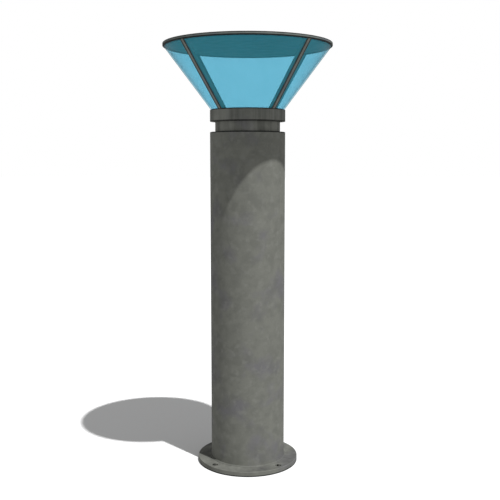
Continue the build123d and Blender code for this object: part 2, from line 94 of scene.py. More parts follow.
def makeLight():
    data = bpy.data.lights.new("sun", "SUN")
    data.energy = light["sunStrength"]
    data.angle = radians(light["sunAngle"])
    sun = bpy.data.objects.new("sun", data)
    bpy.context.scene.collection.objects.link(sun)
    sun.rotation_euler = Vector(light["sunAlong"]).to_track_quat("-Z", "Y").to_euler()

    world = bpy.data.worlds.new("studio")
    bpy.context.scene.world = world
    world.use_nodes = True
    tree = world.node_tree
    tree.nodes.clear()
    out = tree.nodes.new("ShaderNodeOutputWorld")
    mix = tree.nodes.new("ShaderNodeMixShader")
    seen = tree.nodes.new("ShaderNodeLightPath")
    tree.links.new(seen.outputs["Is Camera Ray"], mix.inputs[0])
    for place, strength in ((1, light["sky"]), (2, light["backdrop"])):
        glow = tree.nodes.new("ShaderNodeBackground")
        glow.inputs["Color"].default_value = (1.0, 1.0, 1.0, 1.0)
        glow.inputs["Strength"].default_value = strength
        tree.links.new(glow.outputs[0], mix.inputs[place])
    tree.links.new(mix.outputs[0], out.inputs["Surface"])
    bpy.context.scene.view_settings.view_transform = "Standard"
    bpy.context.scene.view_settings.look = "None"


floor = {
    "half": 30.0,
    "below": 0.0002,  # the object's foot
    "color": (0.895, 0.895, 0.895),
    "roughness": 0.9,
    "specular": 0.1,
}


def makeFloor():
    half, z = floor["half"], -floor["below"]
    mesh = bpy.data.meshes.new("floor")
    around = [(-half, -half, z), (half, -half, z), (half, half, z), (-half, half, z)]
    mesh.from_pydata(around, [], [(0, 1, 2, 3)])
    plane = bpy.data.objects.new("floor", mesh)
    bpy.context.scene.collection.objects.link(plane)
    paint = bpy.data.materials.new("paleFloor")
    paint.use_nodes = True
    shader = paint.node_tree.nodes["Principled BSDF"]
    shader.inputs["Base Color"].default_value = (*floor["color"], 1.0)
    shader.inputs["Roughness"].default_value = floor["roughness"]
    shader.inputs["Specular IOR Level"].default_value = floor["specular"]
    mesh.materials.append(paint)
    plane.visible_diffuse = False
    plane.visible_glossy = False


makeCamera()
makeLight()
makeFloor()
print("camera, light and floor ready")


class Nodes:
    # a new material, with short ways to add its nodes and link them
    def __init__(self, name):
        self.material = bpy.data.materials.new(name)
        self.material.use_nodes = True
        self.tree = self.material.node_tree
        self.shader = self.tree.nodes["Principled BSDF"]
        self.place = self.tree.nodes.new("ShaderNodeTexCoord").outputs["Object"]

    def put(self, socket, value):
        if isinstance(value, bpy.types.NodeSocket):
            self.tree.links.new(value, socket)
        elif isinstance(value, tuple) and len(value) == 3 and socket.type == "RGBA":
            socket.default_value = (*value, 1.0)
        else:
            socket.default_value = value

    def add(self, kind, **inputs):
        node = self.tree.nodes.new(kind)
        for key, value in inputs.items():
            self.put(node.inputs[key.replace("_", " ")], value)
        return node

    def noise(self, scale, detail=4.0, rough=0.55, place=None):
        node = self.add("ShaderNodeTexNoise", Scale=scale, Detail=detail, Roughness=rough)
        self.put(node.inputs["Vector"], place or self.place)
        return node.outputs["Fac"]

    def stretch(self, size):
        return self.add("ShaderNodeMapping", Vector=self.place, Scale=size).outputs["Vector"]

    def mark(self, name):
        # a value that the mesh carries, such as where its edges are
        node = self.tree.nodes.new("ShaderNodeAttribute")
        node.attribute_name = name
        return node.outputs["Fac"]

    def span(self, value, start, full, low=0.0, high=1.0):
        node = self.add("ShaderNodeMapRange", Value=value)
        node.inputs["From Min"].default_value = start
        node.inputs["From Max"].default_value = full
        node.inputs["To Min"].default_value = low
        node.inputs["To Max"].default_value = high
        return node.outputs["Result"]

    def pattern(self, values, place=None):
        # scale, detail and roughness of a noise, and where its patches start and are full
        scale, detail, rough, start, full = values
        return self.span(self.noise(scale, detail, rough, place), start, full)

    def math(self, how, first, second=0.0):
        node = self.tree.nodes.new("ShaderNodeMath")
        node.operation = how
        self.put(node.inputs[0], first)
        self.put(node.inputs[1], second)
        return node.outputs[0]

    def split(self, vector):
        return self.add("ShaderNodeSeparateXYZ", Vector=vector).outputs

    def mix(self, share, first, second, how="MIX"):
        node = self.tree.nodes.new("ShaderNodeMix")
        node.data_type = "RGBA"
        node.blend_type = how
        self.put(node.inputs[0], share)
        self.put(node.inputs[6], first)
        self.put(node.inputs[7], second)
        return node.outputs[2]

    def cover(self, body, color, where, share):
        # lays a colour over the body in the given patches, at most by the share
        return self.mix(self.math("MULTIPLY", where, share), body, color)

    def bump(self, height, distance, strength, below=None):
        node = self.add("ShaderNodeBump", Height=height, Distance=distance, Strength=strength)
        if below is not None:
            self.put(node.inputs["Normal"], below)
        return node.outputs["Normal"]

    def blend(self, share, first, second):
        node = self.tree.nodes.new("ShaderNodeMixShader")
        self.put(node.inputs[0], share)
        self.tree.links.new(first.outputs[0], node.inputs[1])
        self.tree.links.new(second.outputs[0], node.inputs[2])
        return node

    def show(self, shader):
        self.tree.links.new(shader.outputs[0], self.tree.nodes["Material Output"].inputs["Surface"])
        return self.material

    def set(self, **values):
        for key, value in values.items():
            self.put(self.shader.inputs[key.replace("_", " ")], value)
        return self.material


greyPaint = {
    "warm": (0.250, 0.255, 0.226),
    "cool": (0.220, 0.218, 0.226),
    "clouds": (13.0, 3.0, 0.5, 0.52, 0.66),
    "shade": (0.175, 0.180, 0.160),
    "stains": (40.0, 3.0, 0.55, 0.60, 0.36),
    "stainShare": 0.50,
    "pale": (0.33, 0.335, 0.305),
    "blooms": (66.0, 2.0, 0.5, 0.54, 0.72),
    "bloomShare": 0.36,
    "rainStretch": (1.0, 1.0, 0.04),
    "darkRain": (0.135, 0.140, 0.125),
    "darkBands": (42.0, 3.0, 0.6, 0.60, 0.38),
    "paleRain": (0.36, 0.365, 0.34),
    "paleBands": (75.0, 3.0, 0.6, 0.48, 0.68),
    "speck": (0.09, 0.09, 0.08),
    "specks": (850.0, 2.0, 0.5, 0.42, 0.30),
    "speckShare": 0.25,
    "dirt": (0.045, 0.045, 0.042),
    "edge": (0.012, 0.013, 0.012),
    "gloss": (0.62, 0.78),
    "peel": {"scale": 380.0, "height": 0.0002, "strength": 0.4},
    "dents": {"scale": 24.0, "height": 0.0010, "strength": 0.12},
}


def makeGreyPaint(name, streak=0.0, grime=0.0, tone=(1.0, 1.0, 1.0)):
    # cloudy warm and cool grey with stains, pale blooms and specks, and near-black marked edges that are
    # partly painted shade
    n = Nodes(name)
    stains = n.pattern(greyPaint["stains"])
    body = n.mix(n.pattern(greyPaint["clouds"]), greyPaint["warm"], greyPaint["cool"])
    body = n.cover(body, greyPaint["shade"], stains, greyPaint["stainShare"])
    body = n.cover(body, greyPaint["pale"], n.pattern(greyPaint["blooms"]), greyPaint["bloomShare"])
    # a tone scales the whole paint: for the neck, collar and ribs it is painted light, for the weld painted
    # shade
    body = n.mix(1.0, body, tone, "MULTIPLY")
    if streak:
        # rain marks: darker and paler bands that run straight down
        down = n.stretch(greyPaint["rainStretch"])
        body = n.cover(body, greyPaint["darkRain"], n.pattern(greyPaint["darkBands"], down), streak)
        body = n.cover(body, greyPaint["paleRain"], n.pattern(greyPaint["paleBands"], down), streak / 2)
    body = n.cover(body, greyPaint["speck"], n.pattern(greyPaint["specks"]), greyPaint["speckShare"])
    if grime:
        # painted shade: faces that look up are darkened in patches, which tones down the sun on them
        normal = n.tree.nodes.new("ShaderNodeNewGeometry").outputs["Normal"]
        up = n.span(n.split(normal)["Z"], 0.5, 0.95, 0.0, grime)
        patchy = n.span(n.noise(26.0, 4.0, 0.6), 0.3, 0.7, 0.45, 1.15)
        body = n.cover(body, greyPaint["dirt"], up, patchy)
    # painted shade and dark lines: the marked edges and creases turn near black, which is painted shade in
    # the creases and under the collar; the noise only breaks the lines up a little
    chips = n.span(n.noise(160.0, 3.0), 0.25, 0.6, 0.75, 1.0)
    body = n.cover(body, greyPaint["edge"], n.mark("edge"), chips)
    peel, dents = greyPaint["peel"], greyPaint["dents"]
    peeled = n.bump(n.noise(peel["scale"], 2.0, 0.5), peel["height"], peel["strength"])
    return n.set(
        Base_Color=body,
        Roughness=n.span(stains, 0.0, 1.0, *greyPaint["gloss"]),
        Specular_IOR_Level=0.2,
        Normal=n.bump(n.noise(dents["scale"], 3.0, 0.5), dents["height"], dents["strength"], peeled),
    )


tintedPanel = {
    "tint": (0.73, 0.93, 1.0),
    "deep": (0.10, 0.28, 0.34),  # along the sheet
    "slant": 14.0,
    "film": (0.16, 0.90, 1.0),
    "scratch": (0.14, 0.90, 1.0),
    "share": 0.19,  # of the light that meets the dye
    "glow": (0.01, 0.065, 0.10),
    "gloss": 0.30,
}


def makeTintedPanel():
    # clear blue plastic: most light passes tinted, a share meets the dye, which scatters, a faint glow is
    # painted light, and light that slants along inside the sheet crosses more dye and comes out deeper
    n = Nodes("tintedPanel")
    dust = n.span(n.noise(22.0, 5.0, 0.6), 0.35, 0.7, 0.94, 1.06)
    scratches = n.noise(60.0, 4.0, 0.6, n.stretch((1.0, 1.0, 0.12)))
    facing = n.add("ShaderNodeLayerWeight", Blend=0.5).outputs["Facing"]
    thin = n.add("ShaderNodeBsdfTransparent", Color=tintedPanel["tint"])
    thick = n.add("ShaderNodeBsdfTransparent", Color=tintedPanel["deep"])
    clear = n.blend(n.math("POWER", facing, tintedPanel["slant"]), thin, thick)
    n.set(
        Base_Color=n.mix(n.span(scratches, 0.45, 0.75), tintedPanel["film"], tintedPanel["scratch"]),
        Roughness=n.span(scratches, 0.3, 0.7, 0.08, 0.2),
        Specular_IOR_Level=0.5,
        # painted light: the panels give out a faint glow of their own though they are no lamp
        Emission_Color=tintedPanel["glow"],
        Emission_Strength=1.0,
    )
    body = n.blend(n.math("MULTIPLY", dust, tintedPanel["share"]), clear, n.shader)
    gloss = n.add("ShaderNodeBsdfGlossy", Roughness=0.05)
    rim = n.math("POWER", facing, 5.0)
    return n.show(n.blend(n.math("MULTIPLY", rim, tintedPanel["gloss"]), body, gloss))


def makeFinish(name, color, rough, metal=0.0, scale=300.0, vary=0.12, grain=0.00006, along=None):
    # a plain finish with its grain: cloudy tone, fine bump, darker where the mesh marks it, and marks
    # stretched by along where it is given
    n = Nodes(name)
    place = n.stretch(along) if along else None
    share = n.span(n.noise(scale, 4.0, 0.6, place), 0.3, 0.7)
    clouds = n.span(n.noise(28.0, 3.0, 0.5), 0.35, 0.7)
    darker = tuple(c * (1 - 2 * vary) for c in color)
    stained = tuple(c * (1 - vary) for c in color)
    darkMarks = tuple(c * 0.3 for c in color)
    body = n.cover(n.mix(share, color, darker), stained, clouds, 0.6)
    return n.set(
        Base_Color=n.cover(body, darkMarks, n.mark("edge"), 0.55),
        Metallic=metal,
        Roughness=n.span(share, 0.0, 1.0, rough * 0.82, min(1.0, rough * 1.2)),
        Normal=n.bump(n.noise(scale * 2.0, 3.0, 0.6, place), grain, 0.5),
    )


traySteel = {
    "cells": 140.0,
    "dark": (0.50, 0.52, 0.54),
    "light": (0.70, 0.71, 0.72),
    "dull": (0.42, 0.43, 0.43),
}


def makeTraySteel():
    # zinc bloom: each crystal has its own tone and shine, with a raised border
    n = Nodes("traySteel")
    cells = n.add("ShaderNodeTexVoronoi", Scale=traySteel["cells"], Vector=n.place)
    tone = n.split(cells.outputs["Color"])
    body = n.mix(tone["X"], traySteel["dark"], traySteel["light"])
    return n.set(
        Base_Color=n.mix(n.span(n.noise(35.0), 0.45, 0.7, 0.0, 0.5), body, traySteel["dull"]),
        Metallic=1.0,
        Roughness=n.span(tone["Y"], 0.0, 1.0, 0.32, 0.52),
        Normal=n.bump(cells.outputs["Distance"], 0.00005, 0.3),
    )


board = {
    "rings": (0.014, 0.032),  # radii of the rings of chips
    "track": 0.0016,
    "pad": 0.0046,
    "soft": 0.0002,
    "lacquer": ((0.80, 0.81, 0.79), (0.70, 0.71, 0.68)),
    "padWhite": (0.74, 0.75, 0.70),
    "tin": (0.52, 0.52, 0.50),
}


def makeBoardWhite():
    # white lacquer over copper: a silver track runs round under each ring of chips
    n = Nodes("boardWhite")
    place = n.split(n.place)
    across = n.math("MULTIPLY", place["X"], place["X"])
    far = n.math("SQRT", n.math("ADD", across, n.math("MULTIPLY", place["Y"], place["Y"])))
    near = [n.math("ABSOLUTE", n.math("SUBTRACT", far, ring)) for ring in board["rings"]]
    near = n.math("MINIMUM", *near)
    raised = n.span(near, board["pad"] - board["soft"], board["pad"], 1.0, 0.0)
    tinned = n.span(near, board["track"] - board["soft"], board["track"], 1.0, 0.0)
    body = n.mix(n.span(n.noise(120.0), 0.35, 0.7), *board["lacquer"])
    body = n.mix(raised, body, board["padWhite"])
    return n.set(
        Base_Color=n.mix(tinned, body, board["tin"]),
        Roughness=n.span(tinned, 0.0, 1.0, 0.42, 0.3),
        Metallic=n.math("MULTIPLY", tinned, 0.8),
        Normal=n.bump(raised, 0.00008, 0.6),
    )


phosphor = {
    "dome": ((0.86, 0.62, 0.10), (0.90, 0.74, 0.22)),
    "case": ((0.82, 0.82, 0.80), (0.70, 0.70, 0.67)),
    "glow": (1.0, 0.8, 0.35),
}


def makePhosphor():
    # the case of each chip is white; its dome, marked on the mesh, is yellow silicone
    n = Nodes("ledPhosphor")
    dome = n.mark("dome")
    yellow = n.mix(n.span(n.noise(900.0, 3.0), 0.35, 0.7), *phosphor["dome"])
    white = n.mix(n.span(n.noise(600.0, 3.0), 0.4, 0.7), *phosphor["case"])
    return n.set(
        Base_Color=n.mix(dome, white, yellow),
        Roughness=n.span(dome, 0.0, 1.0, 0.5, 0.18),
        Emission_Color=phosphor["glow"],
        Emission_Strength=0.02,
    )


lampCover = {
    "clear": (0.93, 0.97, 0.98),
    "milk": (0.82, 0.86, 0.88),
    "haze": (0.74, 0.79, 0.82),
    "share": 0.62,
}


def makeLampCover():
    # frosted polycarbonate: part of the light passes, part is scattered by the etched face
    n = Nodes("lampCover")
    frost = n.span(n.noise(420.0, 4.0, 0.6), 0.3, 0.7, 0.9, 1.1)
    clear = n.add("ShaderNodeBsdfTransparent", Color=lampCover["clear"])
    n.set(
        Base_Color=n.mix(n.span(n.noise(30.0, 3.0), 0.4, 0.7), lampCover["milk"], lampCover["haze"]),
        Roughness=n.span(frost, 0.9, 1.1, 0.25, 0.4),
        Normal=n.bump(n.noise(900.0, 2.0), 0.00004, 0.5),
    )
    return n.show(n.blend(n.math("MULTIPLY", frost, lampCover["share"]), clear, n.shader))


coreColors = {
    "brown": (0.14, 0.055, 0.03),
    "green": (0.05, 0.28, 0.06),
    "yellow": (0.75, 0.62, 0.05),
    "blue": (0.04, 0.12, 0.38),
    "scuff": (0.3, 0.3, 0.3),
    "band": 0.003,
    "between": 0.006,  # halfway from the middle core to its neighbours
    "soft": 0.0001,
}


def makeCoreSheath():
    # three insulated cores told apart by where they run: brown, banded green and yellow, blue
    n = Nodes("coreSheath")
    place = n.split(n.place)
    band = n.math("PINGPONG", n.math("ADD", place["Z"], place["X"]), coreColors["band"])
    half, edge, soft = coreColors["band"] / 2, coreColors["between"], coreColors["soft"]
    body = n.mix(n.span(band, half - soft, half + soft), coreColors["green"], coreColors["yellow"])
    body = n.mix(n.span(place["X"], -edge - soft, -edge + soft), coreColors["brown"], body)
    body = n.mix(n.span(place["X"], edge - soft, edge + soft), body, coreColors["blue"])
    scuffs = n.span(n.noise(260.0), 0.4, 0.75)
    return n.set(
        Base_Color=n.cover(body, coreColors["scuff"], scuffs, 0.3),
        Roughness=n.span(scuffs, 0.0, 1.0, 0.38, 0.55),
        Normal=n.bump(n.noise(700.0, 2.0), 0.00003, 0.4),
    )


finishes = {
    "screw_steel": {
        "color": (0.55, 0.55, 0.53),
        "rough": 0.34,
        "metal": 1.0,
        "scale": 500.0,
        "vary": 0.10,
    },
    "seal_rubber": {
        "color": (0.034, 0.034, 0.036),
        "rough": 0.75,
        "scale": 700.0,
        "vary": 0.2,
        "grain": 0.0001,
    },
    "bare_aluminium": {
        "color": (0.70, 0.71, 0.72),
        "rough": 0.42,
        "metal": 1.0,
        "scale": 260.0,
        "vary": 0.08,
        "grain": 0.00008,
        "along": (1.0, 0.15, 1.0),
    },
    "driver_case": {
        "color": (0.66, 0.67, 0.65),
        "rough": 0.48,
        "scale": 420.0,
        "vary": 0.06,
        "grain": 0.00005,
    },
    "terminal_plastic": {
        "color": (0.56, 0.56, 0.50),
        "rough": 0.5,
        "scale": 380.0,
        "vary": 0.08,
        "grain": 0.00005,
    },
    "gland_plastic": {"color": (0.035, 0.035, 0.037), "rough": 0.45, "scale": 520.0, "vary": 0.15},
    "lead_sheath": {
        "color": (0.05, 0.05, 0.052),
        "rough": 0.5,
        "scale": 480.0,
        "vary": 0.15,
        "grain": 0.00005,
    },
    "earth_brass": {"color": (0.68, 0.50, 0.22), "rough": 0.32, "metal": 1.0, "scale": 340.0},
}
paints = {
    "greyPaint": {},
    # the share for faces that look up is painted shade that tones down the sun on the flange's top
    "basePaint": {"grime": 0.66},
    # the weld's tone below 1 is painted shade in the corner where the post meets the flange
    "weldPaintShaded": {"grime": 0.55, "tone": (0.70, 0.70, 0.70)},
    # tones above 1 lighten the neck, collar and ribs: painted light that undoes the shade they get under
    # the lid
    "neckPaintLightened": {"streak": 0.6, "tone": (1.54, 1.54, 1.55)},
    "headPaintLightened": {"streak": 0.75, "tone": (1.17, 1.17, 1.18)},
    "ribPaintLightened": {"tone": (1.41, 1.46, 1.49)},
    "lidPaint": {"tone": (0.83, 0.93, 0.98)},
}


def camel(words):
    first, *rest = words.split("_")
    return first + "".join(word.capitalize() for word in rest)


materials = {slot: makeFinish(camel(slot), **finish) for slot, finish in finishes.items()}
paint = {name: makeGreyPaint(name, **values) for name, values in paints.items()}
materials["grey_paint"] = paint["greyPaint"]
materials["tinted_panel"] = makeTintedPanel()
materials["lamp_cover"] = makeLampCover()
materials["board_white"] = makeBoardWhite()
materials["led_phosphor"] = makePhosphor()
materials["tray_steel"] = makeTraySteel()
coreSheath = makeCoreSheath()

for name, slot in slotOf.items():
    node = frame["nodes"][name]
    node.data.materials.clear()
    node.data.materials.append(materials[slot])
print("materials ready")


past = 0.002  # how far a cutter runs on past the face it leaves
through = 0.02  # how far it reaches into a piece
fineTurns = 256
ringTurns = 192
arcSteps = 5
perCorner = arcSteps + 2


def roundedLoop(corners, radii, steps=arcSteps, lead=0.0012):
    # a closed outline with each corner swapped for an arc: the arc's centre lies on the corner's
    # bisector, radius / sin(half angle) away, and the arc swings between its two touching points;
    # a point a lead before each arc and one a lead after it keep the faces between them flat
    corner = np.array(corners, float)
    radius = np.broadcast_to(np.array(radii, float), len(corner))[:, None]
    back = np.roll(corner, 1, 0) - corner
    ahead = np.roll(corner, -1, 0) - corner
    back /= np.linalg.norm(back, axis=1, keepdims=True)
    ahead /= np.linalg.norm(ahead, axis=1, keepdims=True)
    half = np.arccos(np.clip((back * ahead).sum(1, keepdims=True), -1, 1)) / 2
    bisector = back + ahead
    bisector /= np.linalg.norm(bisector, axis=1, keepdims=True)
    centre = corner + bisector * radius / np.sin(half)
    touch = radius / np.tan(half)
    first = (corner + back * touch - centre)[:, None]
    last = (corner + ahead * touch - centre)[:, None]
    swing = (pi - 2 * half)[:, None]
    share = np.linspace(0, 1, steps)[None, :, None]
    arc = np.sin((1 - share) * swing) * first + np.sin(share * swing) * last
    arc = centre[:, None] + arc / np.sin(swing)
    before = (corner + back * (touch + lead))[:, None]
    after = (corner + ahead * (touch + lead))[:, None]
    loop = np.concatenate([before, arc, after], axis=1).reshape(-1, 2)
    edge = np.tile(np.r_[0.0, np.ones(steps), 0.0], len(corner))
    return loop, edge


def edgeLine(loop, edge, at, height, fade):
    # a dark edge runs on to a height: one of the outline's points moves there, and a clean point
    # comes in a fade past it
    loop[at, 1] = height
    edge[at] = 1.0
    clean = at + 1 if fade > 0 else at
    loop = np.insert(loop, clean, [loop[at, 0], height + fade], 0)
    return loop, np.insert(edge, clean, 0.0)


def gridFaces(rows, columns, wrapRows=False, wrapColumns=False):
    # quads between neighbouring rows and columns of points, closed round where wrapped
    i = np.arange(rows if wrapRows else rows - 1)
    j = np.arange(columns if wrapColumns else columns - 1)
    i, j = np.meshgrid(i, j, indexing="ij")
    i2, j2 = (i + 1) % rows, (j + 1) % columns
    quads = np.stack([i * columns + j, i2 * columns + j, i2 * columns + j2, i * columns + j2], -1)
    return quads.reshape(-1, 4)


def tubeFaces(rows, columns):
    # a closed outline carried along rows of points, and the two polygons that shut its ends
    last = (rows - 1) * columns
    return gridFaces(rows, columns, False, True), [range(columns), range(last, last + columns)]


def endRings(turns, columns):
    # the polygons that shut the first and the last column of points turned round a line
    ring = range(0, turns * columns, columns)
    return [ring, [k + columns - 1 for k in ring]]


def stepsRound(turns):
    return np.arange(turns) * 2 * pi / turns


def turnedGrid(radius, height, closed=True):
    # an outline carried round the post's axis: x = r cos a and y = r sin a, where two arrays hold the
    # radius and the height of each outline point at each step round
    turns, columns = radius.shape
    a = stepsRound(turns)[:, None]
    points = np.stack([radius * np.cos(a), radius * np.sin(a), height], -1)
    return points, gridFaces(turns, columns, True, closed), []


def turnedLoop(loop, turns, closed=True):
    # the same for one outline of (radius, height) that doesn't change on its way round
    radius, height = (np.tile(loop[:, k], (turns, 1)) for k in (0, 1))
    return turnedGrid(radius, height, closed)


def spunGrid(base, along, rows, turns, spin=0.0):
    # a surface round any line: each row is (radius, distance along), and either may vary with the
    # step round; its points lie at base + distance * along + radius * (cos a * side + sin a * other)
    along = np.array(along, float)
    side = np.cross(along, (0.0, 0.0, 1.0) if abs(along[2]) < 0.9 else (1.0, 0.0, 0.0))
    a = stepsRound(turns)[:, None] + spin
    turn = np.cos(a) * side + np.sin(a) * np.cross(along, side)
    radius, distance = (np.stack([np.broadcast_to(row[k], turns) for row in rows], 1) for k in (0, 1))
    points = np.array(base) + distance[..., None] * along + radius[..., None] * turn[:, None]
    return points, gridFaces(turns, len(rows), True), []


def hexRadius(a, flat):
    # from a hexagon's middle to its side: flat / cos of the angle off the side's middle
    return flat / np.cos(a % (pi / 3) - pi / 6)


def finishMesh(mesh):
    mesh.polygons.foreach_set("use_smooth", np.ones(len(mesh.polygons), bool))
    mesh.set_sharp_from_angle(angle=radians(32))
    mesh.update()


def makePiece(name, stand, grids, material=None, **marks):
    # joins grids of (points, faces, caps) in one mesh, closes their poles, turns the faces outward,
    # and lets the piece stand for a CAD node
    points = np.concatenate([grid[0].reshape(-1, 3) for grid in grids])
    faces = []
    start = 0
    for grid, quads, caps in grids:
        faces += (quads + start).tolist()
        faces += [[k + start for k in cap] for cap in caps]
        start += grid.size // 3
    mesh = bpy.data.meshes.new(name)
    mesh.from_pydata(points.tolist(), [], faces)
    for mark, values in marks.items():
        layer = mesh.attributes.new(mark, "FLOAT", "POINT")
        layer.data.foreach_set("value", values.astype(np.float32))
    mesh.materials.append(material or materials[slotOf[stand]])
    whole = bmesh.new()
    whole.from_mesh(mesh)
    bmesh.ops.remove_doubles(whole, verts=whole.verts, dist=1e-7)
    bmesh.ops.recalc_face_normals(whole, faces=whole.faces)
    whole.to_mesh(mesh)
    whole.free()
    finishMesh(mesh)
    piece = bpy.data.objects.new(name, mesh)
    bpy.context.scene.collection.objects.link(piece)
    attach(piece, bodyOf[stand])
    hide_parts(stand)
    return piece


def turnedPiece(name, stand, loop, edge, turns=fineTurns, material=None):
    return makePiece(name, stand, [turnedLoop(loop, turns)], material, edge=np.tile(edge, turns))


def drill(piece, places, along, outline, turns=48):
    # at each place, cuts an outline of (distance along, radius) turned about the line through it
    rows = [(radius, distance) for distance, radius in outline]
    for place in places:
        points, faces, caps = spunGrid(place, along, rows, turns)
        mesh = bpy.data.meshes.new("peg")
        first, last = endRings(turns, len(rows))
        mesh.from_pydata(points.reshape(-1, 3).tolist(), [], faces.tolist() + [first[::-1], last])
        peg = bpy.data.objects.new("peg", mesh)
        bpy.context.scene.collection.objects.link(peg)
        cut = piece.modifiers.new("cut", "BOOLEAN")
        cut.operation = "DIFFERENCE"
        cut.solver = "EXACT"
        cut.object = peg
        whole = bpy.context.evaluated_depsgraph_get()
        result = bpy.data.meshes.new_from_object(piece.evaluated_get(whole))
        piece.modifiers.clear()
        piece.data = result
        bpy.data.objects.remove(peg)
    finishMesh(piece.data)


def countersink(head, shank, sink):
    # opens from shank to head over the sink, and runs on past the face at the same slope
    return [(-through, shank), (-sink, shank), (past, head + past * (head - shank) / sink)]


def boxOf(node):
    return [np.array(corner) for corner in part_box(node)]


def levels(node):
    low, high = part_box(node)
    return low[2], high[2]


def outerRadius(node):
    low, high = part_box(node)
    return max(-low[0], -low[1], high[0], high[1])


down, up, forward, backward = (0, 0, -1), (0, 0, 1), (0, -1, 0), (0, 1, 0)
m3 = {"shank": 0.0015, "pitch": 0.0005}
m4 = {"shank": 0.0020, "pitch": 0.0007}
m5 = {"shank": 0.0025, "pitch": 0.0008}
m8 = {"shank": 0.0040, "pitch": 0.00125}

# head is its radius and deep its height; a ring has a count and its first screw's angle
screws = {
    "lid_screws": {**m4, "head": 0.0042, "deep": 0.0022, "along": down, "ring": (4, 45), "flat": True},
    "lens_ring_screws": {**m3, "head": 0.0030, "deep": 0.0015, "along": down, "ring": (4, 0), "flat": True},
    "collar_screws": {**m5, "head": 0.00425, "deep": 0.0050, "along": up, "ring": (4, 45)},
    "rib_screws": {**m4, "head": 0.0035, "deep": 0.0040, "along": up, "ring": (4, 45)},
    "heatsink_screws": {**m3, "head": 0.00275, "deep": 0.0024, "along": down, "ring": (3, 90)},
    "board_screws": {**m3, "head": 0.00275, "deep": 0.0018, "along": down, "ring": (3, 30)},
    "tray_screws": {**m4, "head": 0.0035, "deep": 0.0026, "along": up},
    "driver_screws": {**m3, "head": 0.00275, "deep": 0.0020, "along": backward},
    "terminal_screws": {**m3, "head": 0.00275, "deep": 0.0020, "along": backward},
}
lockingScrew = {**m8, "head": 0.0040, "deep": 0.0006, "along": forward, "flat": True}


def ringPlaces(far, count, first, z):
    # evenly round the post's axis, from a first angle in degrees
    angles = np.radians(first + np.arange(count) * 360 / count)
    return [(far * cos(t), far * sin(t), z) for t in angles]


def screwPlaces(name):
    # a ring's radius comes from how far the screws' box reaches along X; a pair stands along the
    # longer side of its box
    screw = screws[name]
    low, high = boxOf(name)
    along = np.array(screw["along"])
    k = int(np.argmax(abs(along)))
    start = low[k] if along[k] > 0 else high[k]
    if "ring" in screw:
        reach = max(place[0] for place in ringPlaces(1.0, *screw["ring"], start))
        return ringPlaces((high[0] - screw["head"]) / reach, *screw["ring"], start)
    side = int(np.argmax((high - low) * (1 - abs(along))))
    places = []
    for end in (low[side] + screw["head"], high[side] - screw["head"]):
        place = (low + high) / 2
        place[k] = start
        place[side] = end
        places.append(place)
    return places


def screwHoles(name, z):
    # the places of a ring of screws, at another height
    return [(x, y, z) for x, y, start in screwPlaces(name)]


post = {
    "wall": 0.004,
    "tubeEdges": (0.0003, 0.0003, 0.0015, 0.0005),  # from the foot's inside, out and round
    "flangeEdges": (0.0004, 0.0006, 0.0009, 0.0006),
    "flangeLead": 0.0014,
    "footShadeLine": 0.0022,  # painted shade up the flange's rim from its foot
    "footShadeFade": 0.0008,
    "cableHole": 0.035,
    "screwHole": 0.00405,
    "screwFlare": 0.0058,
    "flareRise": 0.0025,
}
bolts = {"circle": 0.107, "hole": 0.007, "chamfer": 0.0006}


def makeFlange():
    low, high = levels("base_flange")
    r = outerRadius("base_flange")
    corners = [(post["cableHole"], low), (r, low), (r, high), (post["cableHole"], high)]
    loop, edge = roundedLoop(corners, post["flangeEdges"], lead=post["flangeLead"])
    # only the lower edges stay near black, and the line runs on up the rim: painted shade where the flange
    # meets the floor
    edge = edge * (loop[:, 1] < (low + high) / 2)
    loop, edge = edgeLine(loop, edge, 2 * perCorner - 1, low + post["footShadeLine"], post["footShadeFade"])
    piece = turnedPiece("flange", "base_flange", loop, edge, material=paint["basePaint"])
    hole, chamfer = bolts["hole"], bolts["chamfer"]
    wide = hole + chamfer + past
    outline = [(-past, wide), (chamfer, hole), (high - chamfer, hole), (high + past, wide)]
    drill(piece, ringPlaces(bolts["circle"], 4, 45, 0.0), up, outline)


def makeTube():
    low, high = levels("post_tube")
    r = outerRadius("post_tube")
    inside = r - post["wall"]
    corners = [(inside, low), (r, low), (r, high), (inside, high)]
    loop, edge = roundedLoop(corners, post["tubeEdges"])
    piece = turnedPiece("tube", "post_tube", loop, edge)
    middle = sum(levels("locking_screw")) / 2
    hole, flare = post["screwHole"], post["screwFlare"]
    outline = [(-through, hole), (0, hole), (post["flareRise"], flare)]
    drill(piece, [(0.0, r, middle)], backward, outline)


weld = {
    "turns": 720,
    "ripples": 150,
    "deep": 0.00022,
    "wander": (0.6, 7),
    "steps": 9,
    "power": 1.3,
    "off": 0.00005,
}


def makeWeld():
    # a bead with a round face: along its outline an angle s runs from 0 to 90 degrees, the radius is
    # the post's plus leg * cos^power s, the height is leg * sin^power s, and both swell with ripples
    # round the post, sin(ripples * a + far * sin(often * a))
    low, high = levels("base_weld")
    r = outerRadius("post_tube") + weld["off"]
    leg = high - low
    a = stepsRound(weld["turns"])
    s = np.linspace(0, pi / 2, weld["steps"])
    far, often = weld["wander"]
    wave = 1 + weld["deep"] / leg * np.sin(weld["ripples"] * a + far * np.sin(often * a))
    root = np.ones((len(a), 1))
    radius = np.hstack([r * root, r + np.outer(wave, leg * np.cos(s) ** weld["power"])])
    height = np.hstack([low * root, low + np.outer(wave, leg * np.sin(s) ** weld["power"])])
    grid = turnedGrid(radius, np.minimum(height, high))
    makePiece("weldBead", "base_weld", [grid], paint["weldPaintShaded"])


makeFlange()
makeTube()
makeWeld()
print("post ready")


